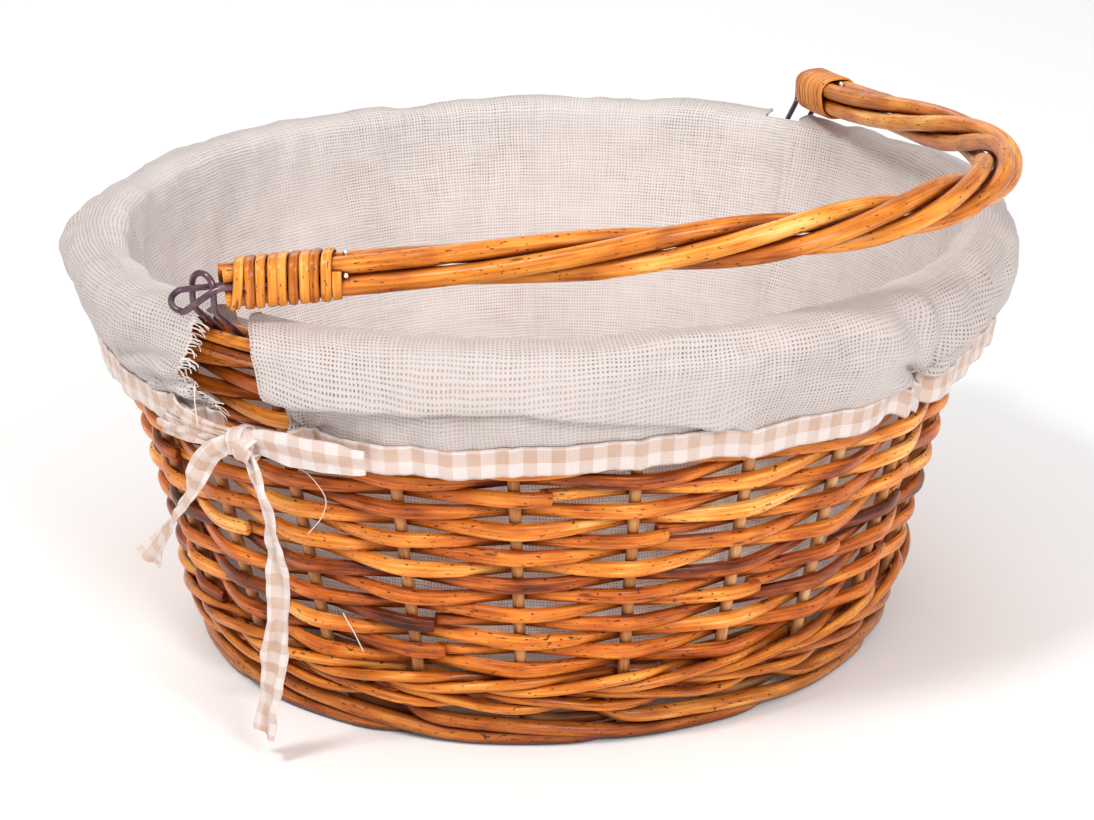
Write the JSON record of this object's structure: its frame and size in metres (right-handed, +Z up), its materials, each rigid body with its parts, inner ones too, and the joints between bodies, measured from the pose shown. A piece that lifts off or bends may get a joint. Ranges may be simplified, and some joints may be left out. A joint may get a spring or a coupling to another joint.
{
  "type": "lined wicker bread basket",
  "caption": "Round-oval willow bread basket with flared woven sides, a fold-down twisted handle on wire loops, and a linen liner with gingham edging and tied bows.",
  "frame": {"origin": "on the resting plane, under the middle of the box round the whole object; the basket's own centre is 4.1 mm behind it, on +Y, because the folded handle reaches past the rim in front", "axes": "+Z up; X is the hinge axis through the two rim loops; the handle is folded down over the -Y side at rest"},
  "size_m": [0.4274, 0.3882, 0.217],
  "materials": {
    "buff_willow": "varnished split willow, satin",
    "dark_willow": "varnished dark brown willow, satin",
    "pale_willow": "varnished round golden willow, satin",
    "stake_willow": "peeled round willow, satin",
    "linen": "coarse plain-weave linen",
    "gingham": "small tan and white check, plain weave",
    "coated_wire": "purple-brown plastic-coated wire",
    "steel_pin": "bright pin head"
  },
  "bodies": {
    "basket": {"base_stick_lower_1": "stake_willow", "base_stick_lower_2": "stake_willow", "base_stick_lower_3": "stake_willow", "base_stick_upper_1": "stake_willow", "base_stick_upper_2": "stake_willow", "base_stick_upper_3": "stake_willow", "base_weaver_1": "stake_willow", "base_weaver_2": "stake_willow", "foot_rod_lower": "dark_willow", "foot_rod_upper": "dark_willow", "gingham_trim_back": "gingham", "gingham_trim_front": "gingham", "liner_cuff_back": "linen", "liner_cuff_front": "linen", "liner_floor": "linen", "liner_wall": "linen", "rim_loop_left": "coated_wire", "rim_loop_right": "coated_wire", "rim_rod_inner": "buff_willow", "rim_rod_outer": "buff_willow", "siding_weaver_01": "buff_willow", "siding_weaver_02": "buff_willow", "siding_weaver_03": "buff_willow", "siding_weaver_04": "buff_willow", "siding_weaver_05": "buff_willow", "siding_weaver_06": "buff_willow", "siding_weaver_07": "buff_willow", "siding_weaver_08": "buff_willow", "siding_weaver_09": "buff_willow", "siding_weaver_10": "buff_willow", "stake_pair_01": "stake_willow", "stake_pair_02": "stake_willow", "stake_pair_03": "stake_willow", "stake_pair_04": "stake_willow", "stake_pair_05": "stake_willow", "stake_pair_06": "stake_willow", "stake_pair_07": "stake_willow", "stake_pair_08": "stake_willow", "stake_pair_09": "stake_willow", "stake_pair_10": "stake_willow", "stake_pair_11": "stake_willow", "stake_pair_12": "stake_willow", "tie_bow_left": "gingham", "tie_bow_right": "gingham", "wale_rod_1": "pale_willow", "wale_rod_2": "pale_willow", "wale_rod_3": "pale_willow"},
    "handle": {"handle_eye_left": "coated_wire", "handle_eye_right": "coated_wire", "handle_rod_1": "pale_willow", "handle_rod_2": "pale_willow", "handle_rod_3": "pale_willow", "handle_rod_4": "pale_willow", "handle_wrap_left": "pale_willow", "handle_wrap_right": "pale_willow", "wrap_pin_left": "steel_pin", "wrap_pin_right": "steel_pin"}
  },
  "joints": [
    {"name": "handle_fold", "type": "hinge", "parent": "basket", "child": "handle", "pos_m": [0, 0.0041, 0.187], "axis": [-1, 0, 0], "range_deg": [0, 167]}
  ]
}
